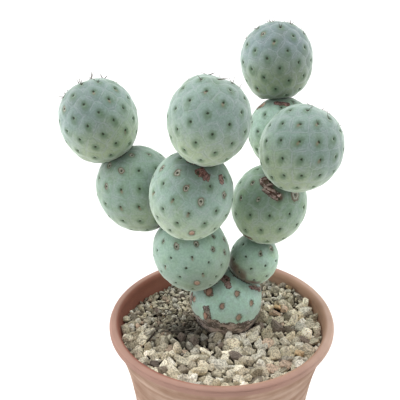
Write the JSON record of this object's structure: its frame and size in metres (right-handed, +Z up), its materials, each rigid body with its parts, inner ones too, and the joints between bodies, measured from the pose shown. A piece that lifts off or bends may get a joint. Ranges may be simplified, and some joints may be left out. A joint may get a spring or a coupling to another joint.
{
  "type": "potted tephrocactus geometricus",
  "caption": "Round pale blue-green stem segments stacked in branches, rooted in pumice grit in a round clay pot with a rolled rim.",
  "frame": {"origin": "centre of the pot's flat base, on the surface it stands on", "axes": "+Z up along the pot's axis, -Y towards the plant's front, +X to its right seen from the front"},
  "size_m": [0.1474, 0.147, 0.2531],
  "materials": {
    "pot_clay": "unglazed fired clay, pinkish tan, matte, fine turning lines",
    "grit_stone": "loose pumice and lava grit, cream to grey, rough and dry",
    "old_stem": "waxy turquoise-green skin, corky brown at the scars and at the base",
    "young_stem": "pale waxy blue-green skin with a fine lilac net and dark areoles"
  },
  "bodies": {
    "root": {"pot": "pot_clay", "grit": "grit_stone", "segment_base": "old_stem", "segment_left_1": "old_stem", "segment_left_2": "young_stem", "segment_left_3": "young_stem", "segment_side_1": "young_stem", "segment_side_2": "young_stem", "segment_right_1": "old_stem", "segment_right_2": "young_stem", "segment_back_1": "young_stem", "segment_back_2": "young_stem", "segment_front": "young_stem"}
  },
  "joints": []
}
